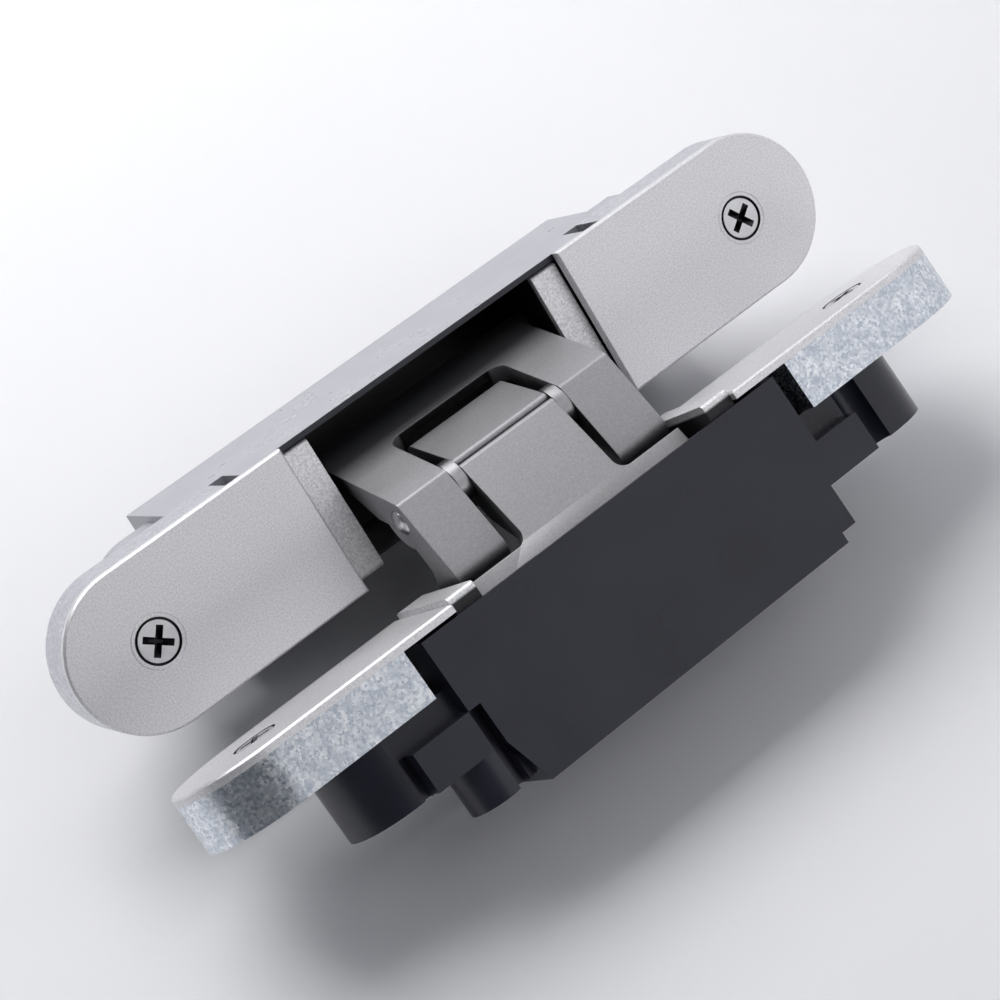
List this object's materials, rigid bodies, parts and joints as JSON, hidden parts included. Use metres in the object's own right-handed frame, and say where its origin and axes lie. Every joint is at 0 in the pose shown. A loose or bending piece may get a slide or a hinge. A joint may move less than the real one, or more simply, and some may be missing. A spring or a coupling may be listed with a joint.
{
  "type": "concealed door hinge",
  "caption": "Concealed door hinge: two slim leaves with end blocks and covers, joined by crossed cranked arms that fold into pockets in both leaves when the door is shut.",
  "frame": {"origin": "centre of the frame leaf, in the plane of its cover faces", "axes": "+Z along the hinge's pivots, -Y out of the frame leaf's face, the door leaf open by 81 degrees on the -X side"},
  "size_m": [0.0647, 0.0673, 0.16],
  "materials": {
    "satin_grey": "satin",
    "plated_zinc": "satin",
    "black_coated": "satin",
    "bright_steel": "polished",
    "screw_steel": "satin",
    "dark_screw": "satin",
    "bearing_plastic": "matte"
  },
  "bodies": {
    "frame_leaf": {"frame_upper_block": "plated_zinc", "frame_lower_block": "plated_zinc", "frame_upper_cover": "satin_grey", "frame_lower_cover": "satin_grey", "frame_cover_screws": "screw_steel"},
    "frame_case": {"frame_case": "black_coated", "frame_carrier": "satin_grey", "frame_pivot_pin": "bright_steel", "frame_pivot_spacers": "bearing_plastic", "frame_jack_screws": "dark_screw", "frame_clamp_screws": "dark_screw"},
    "tongue": {"tongue_arm": "satin_grey", "door_guide_pin": "bright_steel", "door_guide_rollers": "bearing_plastic", "door_guide_spacers": "bearing_plastic"},
    "fork": {"fork_arm": "satin_grey", "centre_pin": "bright_steel", "centre_washers": "bright_steel", "frame_guide_pin": "bright_steel", "frame_guide_rollers": "bearing_plastic", "frame_guide_spacers": "bearing_plastic"},
    "door_carrier": {"door_carrier": "satin_grey", "door_pivot_pin": "bright_steel", "door_pivot_spacer": "bearing_plastic", "door_pivot_washers": "bearing_plastic"},
    "door_leaf": {"door_case": "black_coated", "door_upper_block": "plated_zinc", "door_lower_block": "plated_zinc", "door_upper_cover": "satin_grey", "door_lower_cover": "satin_grey", "door_cover_screws": "screw_steel", "door_clamp_screws": "dark_screw", "door_jack_screws": "dark_screw"}
  },
  "joints": [
    {"name": "height_slide", "type": "slide", "parent": "frame_leaf", "child": "frame_case", "axis": [0, 0, 1], "range_m": [-0.003, 0.003]},
    {"name": "frame_pivot", "type": "hinge", "parent": "frame_case", "child": "tongue", "pos_m": [-0.01, 0.01109, 0], "axis": [0, 0, -1], "range_deg": [-45.36, 55.44]},
    {"name": "centre_pivot", "type": "hinge", "parent": "tongue", "child": "fork", "pos_m": [-0.00549, -0.00976, 0], "axis": [0, 0, -1], "range_deg": [-11.88, 9.72]},
    {"name": "door_pivot", "type": "hinge", "parent": "fork", "child": "door_carrier", "pos_m": [-0.02679, -0.00856, 0], "axis": [0, 0, -1], "range_deg": [-45.36, 55.44]},
    {"name": "side_slide", "type": "slide", "parent": "door_carrier", "child": "door_leaf", "axis": [0.9877, 0.1564, 0], "range_m": [-0.003, 0.003]}
  ],
  "couplings": [
    {"joint": "centre_pivot", "follows": "frame_pivot", "ratio": -0.21429},
    {"joint": "door_pivot", "follows": "frame_pivot", "ratio": 1}
  ]
}
